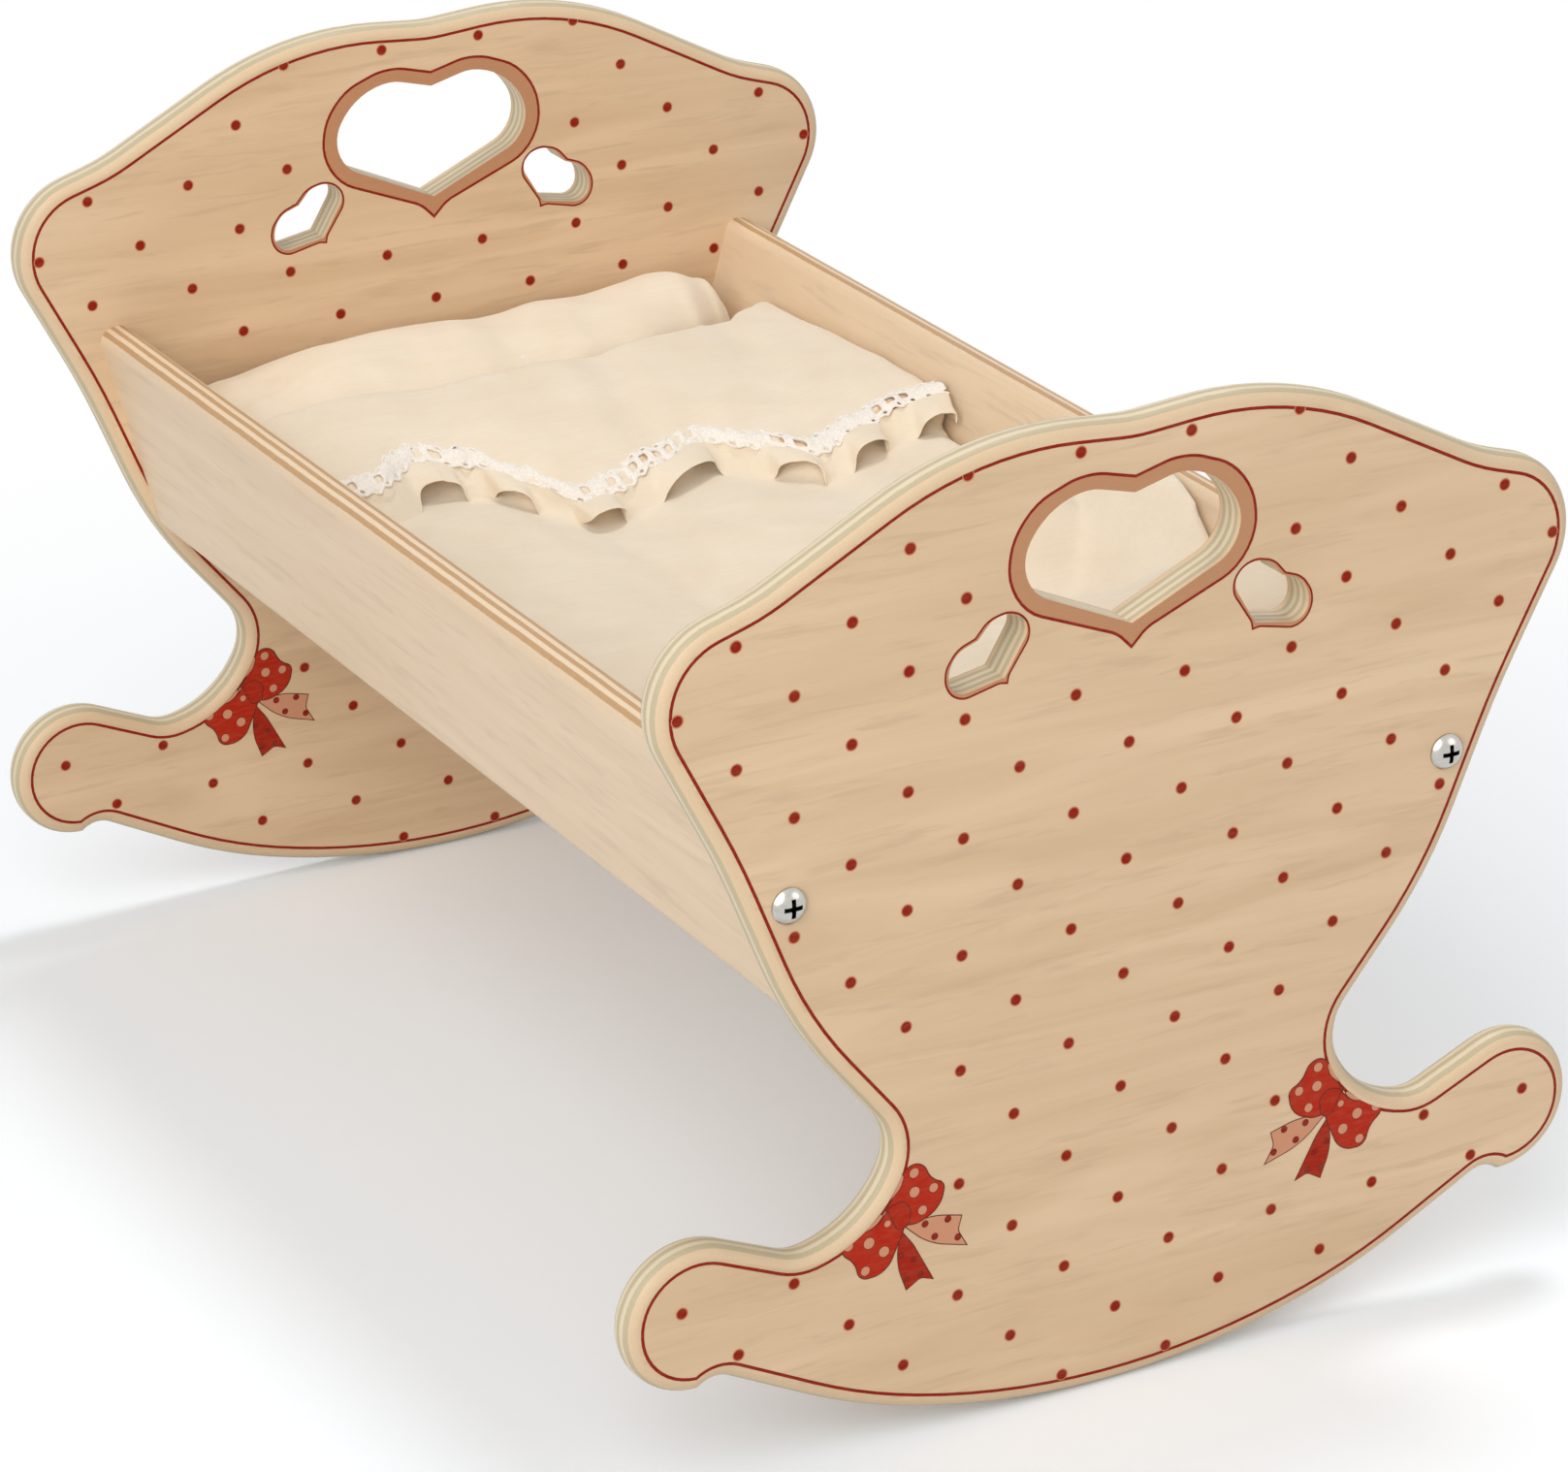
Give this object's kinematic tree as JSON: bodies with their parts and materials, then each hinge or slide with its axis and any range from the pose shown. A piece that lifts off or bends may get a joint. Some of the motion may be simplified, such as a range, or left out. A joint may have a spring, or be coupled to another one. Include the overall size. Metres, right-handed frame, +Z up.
{
  "type": "doll cradle",
  "caption": "Wooden doll cradle with heart cut-outs in its curved rocker end panels, splayed side boards, and a pillow and turned-down coverlet with ruffle and lace.",
  "frame": {"origin": "under the middle of the cradle, at the height of the floor that both rockers touch", "axes": "+X across the cradle to the right side board, +Y from the foot panel to the head panel, +Z up"},
  "size_m": [0.359, 0.5098, 0.3375],
  "materials": {
    "panel_plywood": "satin",
    "board_plywood": "satin",
    "base_plywood": "satin",
    "screw_steel": "polished",
    "dowel_beech": "matte",
    "mattress_cotton": "matte",
    "pillow_cotton": "matte",
    "bed_cotton": "matte",
    "lace_cotton": "matte"
  },
  "bodies": {
    "cradle": {"foot_panel": "panel_plywood", "head_panel": "panel_plywood", "left_side": "board_plywood", "right_side": "board_plywood", "base_board": "base_plywood", "foot_left_screw": "screw_steel", "foot_left_dowels": "dowel_beech", "foot_right_screw": "screw_steel", "foot_right_dowels": "dowel_beech", "head_left_screw": "screw_steel", "head_left_dowels": "dowel_beech", "head_right_screw": "screw_steel", "head_right_dowels": "dowel_beech"},
    "mattress": {"mattress": "mattress_cotton"},
    "pillow": {"pillow": "pillow_cotton", "pillowcase": "bed_cotton"},
    "coverlet": {"coverlet": "bed_cotton", "coverlet_ruffle": "bed_cotton", "lace_trim": "lace_cotton"}
  },
  "joints": [
    {"name": "mattress_lift", "type": "slide", "parent": "cradle", "child": "mattress", "axis": [0, 0, 1], "range_m": [0, 0.18]},
    {"name": "pillow_lift", "type": "slide", "parent": "mattress", "child": "pillow", "axis": [0, 0, 1], "range_m": [0, 0.16]},
    {"name": "coverlet_lift", "type": "slide", "parent": "mattress", "child": "coverlet", "axis": [0, 0, 1], "range_m": [0, 0.16]}
  ]
}
